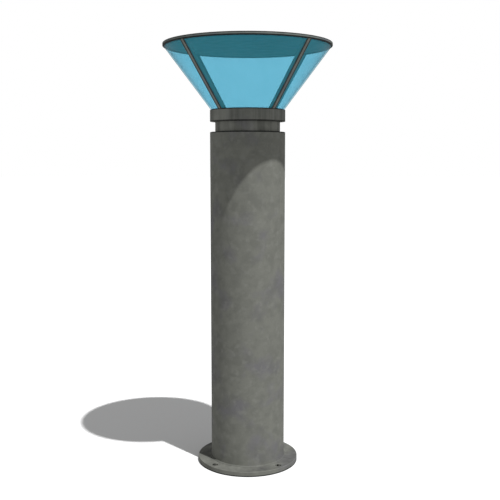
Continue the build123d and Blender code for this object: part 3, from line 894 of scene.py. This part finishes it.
neck = {
    "wall": 0.004,
    "deck": 0.008,
    "lampHole": 0.045,
    "sealInset": 0.0031,  # from the neck's outside in to the collar seal's
    "skirtInset": 0.00635,  # from the seat ring's outside in to the skirt's
    "round": 0.0006,
    "lead": 0.0014,
}


def makeNeck():
    low, high = levels("neck")
    seat = levels("neck_gasket")[1]
    top = levels("post_tube")[1]
    r = outerRadius("collar_seal") + neck["sealInset"]
    skirt = outerRadius("seat_ring") - neck["skirtInset"]
    inside = r - neck["wall"]
    wide = outerRadius("neck")
    deck = high - neck["deck"]
    corners = [(inside, low), (skirt, low), (skirt, seat), (wide, seat), (wide, top), (r, top)]
    corners += [(r, high), (neck["lampHole"], high), (neck["lampHole"], deck), (inside, deck)]
    loop, edge = roundedLoop(corners, neck["round"], lead=neck["lead"])
    turnedPiece("neckCasting", "neck", loop, edge, material=paint["neckPaintLightened"])


collar = {
    "lampHole": 0.045,
    "recess": 0.058,
    "cover": 0.0745,
    "bed": 0.006,
    "ledge": 0.0185,
    "edge": 0.0009,
    "fine": 0.0004,
    "lead": 0.0009,
    "counterbore": 0.0038,
    "seat": 0.0105,
    "clearance": 0.00215,
}


def makeCollar():
    low, high = levels("collar")
    r = outerRadius("collar")
    hole, recess, cover = collar["lampHole"], collar["recess"], collar["cover"]
    bed, ledge = low + collar["bed"], low + collar["ledge"]
    corners = [(hole, low), (r, low), (r, high), (cover, high), (cover, ledge), (recess, ledge)]
    corners += [(recess, bed), (hole, bed)]
    radii = [collar["fine"]] * len(corners)
    radii[1:3] = collar["edge"], collar["edge"]
    loop, edge = roundedLoop(corners, radii, lead=collar["lead"])
    piece = turnedPiece("collarCasting", "collar", loop, edge, material=paint["headPaintLightened"])
    wide, seat, narrow = collar["counterbore"], collar["seat"], collar["clearance"]
    outline = [(-past, wide), (seat, wide), (seat, narrow), (2 * through, narrow)]
    drill(piece, screwHoles("rib_screws", low), up, outline)


makeNeck()
makeCollar()
print("neck and collar ready")


cone = {
    "rib": 0.0133,
    "depth": 0.012,
    "recess": 0.0012,  # from a rib's face in to the sheet
    "thick": 0.003,
    "grip": 0.0022,
    "gap": 0.00035,
    "line": 0.0037,  # dark borders of a rib's face
    "lineFade": 0.0005,
    "round": 0.0006,
    "fine": 0.00012,
    "faceInset": 0.0008,
    "facePoints": 16,
    "ends": (0.0008, 0.02),  # how near a rib's ends its rows lie
    "sheetRound": 0.0004,
    "sheetLead": 0.0003,
    "sheetSteps": 73,
}
ribAngles = {"front_left": 225, "front_right": 315, "rear_right": 45, "rear_left": 135}
panelAngles = {"front": 270, "right": 0, "rear": 90, "left": 180}


def findSide():
    # the cone's straight side, radius = foot + slope * (z - low), from the box of a rib that stands
    # on a diagonal; a sheet of a given thickness takes thick * sqrt(1 + slope^2) across
    low, high = boxOf("rib_rear_right")
    half = cone["rib"] / 2
    foot = low[0] * 2 ** 0.5 + half + cone["depth"]
    top = high[0] * 2 ** 0.5 - half
    slope = (top - foot) / (high[2] - low[2])
    sheet = cone["thick"] * (1 + slope ** 2) ** 0.5
    return {"foot": foot, "slope": slope, "low": low[2], "sheet": sheet}


side = findSide()


def sideRadius(z):
    return side["foot"] + side["slope"] * (z - side["low"])


def makeRib(name, angle):
    # a section of (depth, width) with a groove in each flank for the sheets, carried up the leaning
    # side: x = radial cos - width sin and y = radial sin + width cos of the rib's angle
    low, high = levels(name)
    half = cone["rib"] / 2
    inner = half - cone["grip"] - cone["gap"]
    lip = cone["gap"] - cone["recess"]
    heel = -cone["recess"] - side["sheet"] - cone["gap"]
    deep = -cone["depth"]
    flank = [(0, half), (lip, half), (lip, inner), (heel, inner), (heel, half), (deep, half)]
    corners = [(0, -half)] + flank + [(x, -y) for x, y in flank[:0:-1]]
    outer = np.tile([True, True, False, False, False, False], 2)
    radii = np.where(outer, cone["round"], cone["fine"])
    loop, edge = roundedLoop(corners, radii, steps=4, lead=cone["fine"])
    edge = edge * np.repeat(outer, 6)
    across = np.linspace(-1, 1, cone["facePoints"] + 2)[1:-1] * (half - cone["faceInset"])
    border = np.clip((abs(across) - half + cone["line"]) / cone["lineFade"], 0, 1)
    loop = np.insert(loop, 6, np.stack([0 * across, across], 1), 0)
    edge = np.insert(edge, 6, border)
    near, far = cone["ends"]
    z = np.r_[low, low + near, np.linspace(low + far, high - far, 6), high - near, high]
    radial = sideRadius(z)[:, None] + loop[:, 0]
    width = loop[:, 1] + 0 * radial
    x = radial * cos(angle) - width * sin(angle)
    y = radial * sin(angle) + width * cos(angle)
    points = np.stack([x, y, z[:, None] + 0 * radial], -1)
    grid = (points, *tubeFaces(len(z), len(loop)))
    makePiece(name + "_bar", name, [grid], paint["ribPaintLightened"], edge=np.tile(edge, len(z)))


def stripGrid(angle, half, section, steps):
    # a section of (radius, height) carried from one rib to the next: its ends stay half off each
    # diagonal, so at radius r the sweep is 90 degrees less twice the arcsine of half / r
    r, z = section[:, 0], section[:, 1]
    share = np.linspace(-1, 1, steps)[:, None]
    a = angle + share * (pi / 4 - np.arcsin(half / r))
    points = np.stack([r * np.cos(a), r * np.sin(a), z + 0 * a], -1)
    return points, *tubeFaces(steps, len(r))


def makePanel(name, angle):
    low, high = levels(name)
    foot, top = (sideRadius(z) - cone["recess"] for z in (low, high))
    wide = side["sheet"]
    corners = [(foot, low), (top, high), (top - wide, high), (foot - wide, low)]
    section, edge = roundedLoop(corners, cone["sheetRound"], steps=4, lead=cone["sheetLead"])
    strip = stripGrid(angle, cone["rib"] / 2 - cone["grip"], section, cone["sheetSteps"])
    makePiece(name + "_sheet", name, [strip])


for key, degrees in ribAngles.items():
    makeRib("rib_" + key, radians(degrees))
for key, degrees in panelAngles.items():
    makePanel("panel_" + key, radians(degrees))
print("ribs and panels ready: foot", round(side["foot"], 4), "slope", round(side["slope"], 4))


lid = {
    "inset": 0.0001,
    "edge": 0.0011,
    "lead": 0.0006,
    "line": 0.0009,  # the dark edge runs on this far down the rim
    "lineFade": 0.0004,
    "rings": (0.002, 0.03, 0.06, 0.09, 0.12, 0.15, 0.171, 0.1885, 0.1935),
    "head": 0.0043,
    "shank": 0.0021,
    "sink": 0.0022,
}


def makeLid():
    # rings of points across both faces keep each hole's creases near it
    low, high = levels("lid")
    r = outerRadius("lid") - lid["inset"]
    rings = np.array(lid["rings"])
    corners = [(rings[0], low), (r, low), (r, high), (rings[0], high)]
    loop, edge = roundedLoop(corners, lid["edge"], lead=lid["lead"])
    loop, edge = loop[perCorner:3 * perCorner], edge[perCorner:3 * perCorner]
    line = high - lid["edge"] - lid["line"]
    loop, edge = edgeLine(loop, edge, perCorner, line, -lid["lineFade"])
    under = np.stack([rings, np.full(len(rings), low)], 1)
    over = np.stack([rings[::-1], np.full(len(rings), high)], 1)
    loop = np.concatenate([under, loop, over])
    edge = np.pad(edge, len(rings))
    points, faces, caps = turnedLoop(loop, fineTurns, closed=False)
    caps = endRings(fineTurns, len(loop))
    darkMarks = np.tile(edge, fineTurns)
    piece = makePiece("lidPlate", "lid", [(points, faces, caps)], paint["lidPaint"], edge=darkMarks)
    drill(piece, screwHoles("lid_screws", high), up, countersink(lid["head"], lid["shank"], lid["sink"]))


makeLid()
print("lid ready")


sealWidths = {"neck_gasket": 0.0052, "collar_seal": 0.0022, "lens_seal": 0.0050, "lid_gasket": 0.0125}
seal = {
    "round": 0.4,  # of the seal's height
    "lead": 0.00004,
    "screwHole": 0.0023,
    "stripRound": 0.0004,
    "stripSteps": 49,
}


def makeSeal(name, wide):
    low, high = levels(name)
    r = outerRadius(name)
    corners = [(r - wide, low), (r, low), (r, high), (r - wide, high)]
    loop, edge = roundedLoop(corners, (high - low) * seal["round"], steps=6, lead=seal["lead"])
    piece = turnedPiece(name + "_ring", name, loop, edge * 0, ringTurns)
    if name == "lid_gasket":
        outline = [(-past, seal["screwHole"]), (high - low + past, seal["screwHole"])]
        drill(piece, screwHoles("lid_screws", low), up, outline, 24)


def makeLowerSeal():
    # one strip of rubber under each panel, stopping short of the ribs
    low, high = levels("lower_seal")
    r = outerRadius("lower_seal")
    inside = r - side["sheet"]
    corners = [(r, low), (r, high), (inside, high), (inside, low)]
    section, edge = roundedLoop(corners, seal["stripRound"], steps=4, lead=seal["lead"])
    half = cone["rib"] / 2 + cone["gap"]
    strips = [stripGrid(radians(t), half, section, seal["stripSteps"]) for t in (0, 90, 180, 270)]
    makePiece("lower_seal_strips", "lower_seal", strips)


for key, wide in sealWidths.items():
    makeSeal(key, wide)
makeLowerSeal()
print("seals ready")


screwShape = {
    "keyOfShank": 0.72,  # the key's half width, whichever is less
    "keyOfHead": 0.55,
    "flatSocket": 0.8,  # of the head's height
    "tallSocket": 0.6,
    "floor": 0.999,  # of the key's half width
    "point": 0.3,  # the socket's cone, likewise
    "rim": 0.0004,
    "rimShare": 0.2,  # at most, of the head's height
    "knurlTop": 1.4,  # shares of the rim
    "foot": 0.3,
    "flatFace": 0.97,  # of a flat head's radius
    "flatLip": 0.06,  # of its height
    "knurl": 0.025,
    "start": 0.0003,  # plain shank above the thread
    "tip": 0.0006,
    "tipShare": 0.8,
}


def threadRows(start, stop, screw, radius, cut, turns):
    # a ridge that climbs one pitch each turn: the radius falls by cut times the distance from its
    # crest, |2 frac(z / pitch - a / 360 degrees) - 1|
    pitch = screw["pitch"]
    a = stepsRound(turns)
    rows = []
    for z in np.arange(start, stop, pitch / 6):
        rows.append((radius - cut * abs(2 * ((z / pitch - a / (2 * pi)) % 1) - 1), z))
    return rows


def screwGrid(screw, place, length, turns=36):
    # from the hexagon socket's floor out over the head and down the thread to the tip
    shank, head, deep = screw["shank"], screw["head"], screw["deep"]
    key = min(shank * screwShape["keyOfShank"], head * screwShape["keyOfHead"])
    hexagon = hexRadius(stepsRound(turns), key)
    flat = "flat" in screw
    socket = deep * screwShape["flatSocket" if flat else "tallSocket"]
    rim = min(screwShape["rim"], deep * screwShape["rimShare"])
    rows = [(0, socket + key * screwShape["point"]), (hexagon * screwShape["floor"], socket)]
    rows += [(hexagon, rim / 2), (hexagon + rim / 2, 0)]
    if flat:
        rows += [(head * screwShape["flatFace"], 0), (head, deep * screwShape["flatLip"]), (shank, deep)]
    else:
        knurled = head * (1 - screwShape["knurl"] * (np.arange(turns) % 2))
        rows += [(head - rim + rim * sin(t), rim * (1 - cos(t))) for t in np.linspace(0, pi / 2, 4)]
        rows += [(knurled, rim * screwShape["knurlTop"]), (knurled, deep - rim), (head, deep - rim / 2)]
        rows += [(head - rim * screwShape["foot"], deep), (shank, deep)]
    cut = screw["pitch"] / 2
    core = shank - cut
    tip = screwShape["tip"]
    rows += threadRows(deep + screwShape["start"], length - tip, screw, shank, cut, turns)
    rows += [(core, length - tip / 2), (core * screwShape["tipShare"], length), (0, length)]
    return spunGrid(place, screw["along"], rows, turns)


def makeScrews(name):
    low, high = boxOf(name)
    screw = screws[name]
    length = abs((high - low) @ screw["along"])
    makePiece(name + "_set", name, [screwGrid(screw, place, length) for place in screwPlaces(name)])


def makeLockingScrew():
    low, high = boxOf("locking_screw")
    place = (low + high) / 2
    place[1] = high[1]
    grid = screwGrid(lockingScrew, place, high[1] - low[1], 48)
    makePiece("locking_screw_set", "locking_screw", [grid])


for key in screws:
    makeScrews(key)
makeLockingScrew()
print("screws ready")


lens = {
    "prism": 0.0020,
    "deep": 0.0004,
    "flatRim": 0.006,
    "topRim": 0.004,
    "topRings": 8,
    "round": 0.0007,
    "lead": 0.0004,
}


def makeLens():
    # flat above with a round border; below, rings of small prisms, whose height is a sawtooth of the
    # radius: deep * frac(radius / prism)
    low, high = levels("led_lens")
    r = outerRadius("led_lens")
    inside = r - lens["flatRim"]
    corners = [(inside, low), (r, low), (r, high), (inside, high)]
    rim, edge = roundedLoop(corners, lens["round"], lead=lens["lead"])
    radii = np.arange(0.0, inside, lens["prism"] / 4)
    under = np.stack([radii, low + lens["deep"] * ((radii / lens["prism"]) % 1)], 1)
    rings = np.linspace(r - lens["topRim"], 0, lens["topRings"])
    over = np.stack([rings, np.full(len(rings), high)], 1)
    loop = np.concatenate([under, rim[perCorner:3 * perCorner], over])
    makePiece("lens", "led_lens", [turnedLoop(loop, ringTurns, closed=False)])


clamp = {
    "lip": 0.0045,
    "gap": 0.0001,
    "round": 0.0005,
    "lead": 0.0004,
    "wear": 0.6,
    "head": 0.0031,
    "shank": 0.00165,
}


def makeLensRing():
    # a rebated ring that clamps the lens, with four countersunk holes
    low, high = levels("lens_ring")
    r = outerRadius("lens_ring")
    lensR = outerRadius("led_lens")
    bore, lip = lensR + clamp["gap"], lensR - clamp["lip"]
    top = levels("led_lens")[1]
    corners = [(bore, low), (r, low), (r, high), (lip, high), (lip, top), (bore, top)]
    loop, edge = roundedLoop(corners, clamp["round"], lead=clamp["lead"])
    piece = turnedPiece("lens_clamp", "lens_ring", loop, edge * clamp["wear"], ringTurns)
    outline = countersink(clamp["head"], clamp["shank"], screws["lens_ring_screws"]["deep"])
    drill(piece, screwHoles("lens_ring_screws", high), up, outline)


chips = {
    "counts": (6, 12),
    "first": 15.0,
    "half": 0.002214152,
    "case": 0.55,  # of the chip's height
    "dome": 0.0019,
    "bevel": (0.0001, 0.00008),
    "turns": 32,
}


def makeChips():
    # each chip is a square case under a round dome: the square's half width grows towards its corners
    # by (|cos a|^8 + |sin a|^8)^(-1/8), and the dome is a quarter turn from its rim to its top
    low, high = levels("led_chips")
    a = stepsRound(chips["turns"])
    half = chips["half"] * (abs(np.cos(a)) ** 8 + abs(np.sin(a)) ** 8) ** (-1 / 8)
    tall = high - low
    step = tall * chips["case"]
    dome = chips["dome"]
    wide, deep = chips["bevel"]
    inner = half * (1 - wide / chips["half"])
    rows = [(0, 0), (half, 0), (half, step - deep), (inner, step), (dome + wide, step)]
    white = len(rows)
    rows += [(dome * cos(t), step + (tall - step) * sin(t)) for t in np.linspace(0, pi / 2, 6)]
    grids = []
    for far, count in zip(board["rings"], chips["counts"]):
        for k in range(count):
            t = radians(chips["first"] + k * 360 / count)
            grids.append(spunGrid((far * cos(t), far * sin(t), low), up, rows, len(a), t))
    yellow = np.arange(len(rows)) >= white
    makePiece("chips", "led_chips", grids, dome=np.tile(yellow, len(a) * len(grids)))


makeLens()
makeLensRing()
makeChips()
print("lamp ready")


driver = {
    "corner": 0.003,
    "plate": 0.0006,
    "lead": 0.004,
    "base": 0.0045,  # the case keeps its full width this near the plate
    "ear": 0.008,
    "ends": 0.0015,
    "plain": 0.012,
    "spacing": 0.006,
    "ribDeep": 0.0008,
    "rows": 169,
    "wear": 0.5,
}


def makeDriverCase():
    # a rounded rectangle carried up the case, where each row shrinks by an inset: a quarter circle
    # rounds both ends, and between them 3 sin(2 pi height / spacing), held within 0 and 1, leaves
    # cooling ribs
    low, high = boxOf("led_driver")
    bottom, top = low[2] + driver["ear"], high[2] - driver["ear"]
    corners = [(low[0], high[1]), (high[0], high[1]), (high[0], low[1]), (low[0], low[1])]
    radii = (driver["plate"], driver["plate"], driver["corner"], driver["corner"])
    loop, edge = roundedLoop(corners, radii, steps=6, lead=driver["lead"])
    t = np.linspace(0, pi / 2, 5)
    foot, head = driver["ends"] * (1 - np.cos(t)), driver["ends"] * (1 - np.sin(t))
    middle = np.linspace(bottom + driver["plain"], top - driver["plain"], driver["rows"])
    ripple = np.clip(np.sin((middle - bottom) / driver["spacing"] * 2 * pi) * 3, 0, 1)
    z = np.r_[bottom + foot, middle, top - head]
    inset = np.r_[head, driver["ribDeep"] * ripple, foot]
    centre, size = ((low + high) / 2)[:2], ((high - low) / 2)[:2]
    shape = centre + (loop - centre) * (1 - inset[:, None, None] / size)
    onPlate = loop[:, 1] > high[1] - driver["base"]
    shape[:, onPlate, 1] = loop[onPlate, 1]
    points = np.concatenate([shape, np.broadcast_to(z[:, None, None], (len(z), len(loop), 1))], 2)
    grid = (points, *tubeFaces(len(z), len(loop)))
    # the grooves between the cooling ribs are marked, and the finish is darker there
    darkMarks = np.repeat(np.pad(ripple * driver["wear"], len(t)), len(loop))
    makePiece("driver_case_body", "led_driver", [grid], edge=darkMarks)


tongue = {
    "half": 0.012,
    "thick": 0.002,
    "free": 0.003,
    "near": 0.0004,
    "lead": 0.0002,
    "bevel": 0.0003,
    "face": 0.925,  # the outer face's size, as a share
    "under": 0.0008,
    "hole": 0.004,
    "bore": 0.0018,
}


def makeFoot(name, end, inward):
    # a flat tongue with a screw hole, its outline of (x, z) carried through rows of y, from under the
    # case out to its free end
    back = boxOf("led_driver")[1][1]
    near = end + inward * (driver["ear"] + tongue["under"])
    half, thick = tongue["half"], tongue["thick"]
    low, high = min(end, near), max(end, near)
    corners = [(-half, low), (half, low), (half, high), (-half, high)]
    radii = [tongue["free"] if z == end else tongue["near"] for x, z in corners]
    outline, edge = roundedLoop(corners, radii, steps=6, lead=tongue["lead"])
    middle = outline.mean(0)
    rows = np.stack([outline, outline, middle + (outline - middle) * tongue["face"]])
    y = np.array([back, back - thick + tongue["bevel"], back - thick])[:, None] + 0 * rows[..., 0]
    points = np.stack([rows[..., 0], y, rows[..., 1]], -1)
    foot = makePiece(name, "led_driver", [(points, *tubeFaces(len(rows), len(outline)))])
    outline = [(-past, tongue["bore"]), (thick + past, tongue["bore"])]
    drill(foot, [(0, back, end + inward * tongue["hole"])], forward, outline, 24)


nut = {"face": 0.97, "drop": 0.14, "bevel": 0.0003, "gap": 0.0001}


def nutGrid(place, along, flats, bore, tall, turns=48):
    # six flats whose corners a shallow cone cuts: the drop from each face grows with the radius,
    # (outer - face) / (most - face), from none at the round face's rim to its most at the corners
    half = flats / 2
    face, most = half * nut["face"], half / cos(pi / 6)
    outer = hexRadius(stepsRound(turns), half)
    drop = (outer - face) / (most - face) * tall * nut["drop"]
    bevel = nut["bevel"]
    mouth = bore + bevel
    rows = [(bore, bevel), (mouth, 0), (face, 0), (outer, drop), (outer, tall - drop), (face, tall)]
    rows += [(mouth, tall), (bore, tall - bevel), (bore, bevel)]
    return spunGrid(place, along, rows, turns)


gland = {
    "flats": 0.024,
    "bore": 0.006,
    "thread": 0.010,
    "pitch": 0.0015,
    "cut": 0.35,  # of the pitch
    "hex": 0.006,
    "dome": 0.012,
    "ribs": 24,
    "ribDeep": 0.03,  # of the half width
    "corner": 1.13,  # shares of the half width: the hexagon's corners, its faces, the waist, the dome
    "faces": (0.96, 0.94),
    "waist": 0.93,
    "crown": 0.97,
    "bevel": 0.0006,
    "round": 0.0042,
    "plain": (0.0004, 0.0003),  # at the thread's ends
    "step": 0.0010,
    "mouth": 0.0008,
    "turns": 96,
}


def makeGland():
    # one turned skin: threaded spigot, hexagon, ribbed dome nut and the bore up the middle
    low, high = boxOf("cable_gland")
    middle = (low[1] + high[1]) / 2
    total = high[2] - low[2]
    a = stepsRound(gland["turns"])
    bore, thread, flat, bevel = gland["bore"], gland["thread"], gland["flats"] / 2, gland["bevel"]
    hexagon = np.minimum(hexRadius(a, flat), flat * gland["corner"])
    cut = gland["pitch"] * gland["cut"]
    core = thread - cut
    spigot = total - gland["hex"] - gland["dome"]
    seat = spigot + gland["hex"]
    start, stop = gland["plain"]
    under, over = gland["faces"]
    rows = [(bore, bevel), (bore + bevel, 0), (core, 0)]
    rows += threadRows(start, spigot - stop, gland, thread, cut, len(a))
    rows += [(core, spigot), (flat * under, spigot), (hexagon, spigot + bevel)]
    rows += [(hexagon, seat - bevel), (flat * over, seat), (flat * gland["waist"], seat + bevel)]
    grip = flat * (1 - gland["ribDeep"] * (np.cos(gland["ribs"] * a) > 0))
    turn = gland["round"]
    rows += [(grip, seat + gland["step"]), (grip, total - turn)]
    for t in np.linspace(0, pi / 2, 6):
        rows.append((flat * gland["crown"] - turn * (1 - cos(t)), total - turn * (1 - sin(t))))
    rows += [(bore + gland["mouth"], total), (bore, total - gland["mouth"]), rows[0]]
    makePiece("gland_body", "cable_gland", [spunGrid((0.0, middle, high[2]), down, rows, len(a))])
    low, high = boxOf("gland_nut")
    place = (0.0, (low[1] + high[1]) / 2, low[2])
    grid = nutGrid(place, up, gland["flats"], thread + nut["gap"], high[2] - low[2], 72)
    makePiece("gland_lock_nut", "gland_nut", [grid])


earth = {**m5, "flats": 0.008, "nutTall": 0.0035, "plain": 0.0003, "turns": 36}


def makeEarth():
    low, high = boxOf("earth_stud")
    x, y, z = (low + high) / 2
    total = high[1] - low[1]
    shank, cut = earth["shank"], earth["pitch"] / 2
    core = shank - cut
    rows = [(0, 0), (core, 0)]
    rows += threadRows(earth["plain"], total - earth["plain"], earth, shank, cut, earth["turns"])
    rows += [(core, total), (0, total)]
    makePiece("earth_rod", "earth_stud", [spunGrid((x, low[1], z), backward, rows, earth["turns"])])
    low, high = boxOf("earth_nuts")
    sizes = earth["flats"], shank + nut["gap"], earth["nutTall"]
    front = nutGrid((x, low[1], z), backward, *sizes)
    rear = nutGrid((x, high[1], z), forward, *sizes)
    makePiece("earth_nut_pair", "earth_nuts", [front, rear])


leads = {
    "twist": 0.030,
    "waist": 0.0011,
    "rows": 120,
    "lampTurns": 32,
    "core": 0.0013,
    "bevel": 0.0002,
    "coreTurns": 24,
}


def makeLampLead():
    # two cores twisted together: the radius is the larger of a waist and
    # half * |cos(a - 2 pi z / twist)|
    low, high = boxOf("led_lead")
    x, y, z = (low + high) / 2
    half = (high[0] - low[0]) / 2
    tall = high[2] - low[2]
    a = stepsRound(leads["lampTurns"])
    rows = [(0, 0)]
    for far in np.linspace(0, tall, leads["rows"]):
        lobes = half * abs(np.cos(a - 2 * pi * far / leads["twist"]))
        rows.append((np.maximum(lobes, leads["waist"]), far))
    rows.append((0, tall))
    makePiece("lamp_lead", "led_lead", [spunGrid((x, y, low[2]), up, rows, len(a))])


def makeMainsCores():
    low, high = boxOf("mains_leads")
    x, y, z = (low + high) / 2
    tall = high[2] - low[2]
    core, bevel = leads["core"], leads["bevel"]
    rows = [(0, 0), (core - bevel, 0), (core, bevel)]
    rows += [(core, tall - bevel), (core - bevel, tall), (0, tall)]
    spread = (low[0] + core, 0.0, high[0] - core)
    grids = [spunGrid((x, y, low[2]), up, rows, leads["coreTurns"]) for x in spread]
    makePiece("mains_cores", "mains_leads", grids, coreSheath)


makeDriverCase()
makeFoot("driver_foot_low", levels("led_driver")[0], 1)
makeFoot("driver_foot_high", levels("led_driver")[1], -1)
makeGland()
makeEarth()
makeLampLead()
makeMainsCores()
print("gear ready")
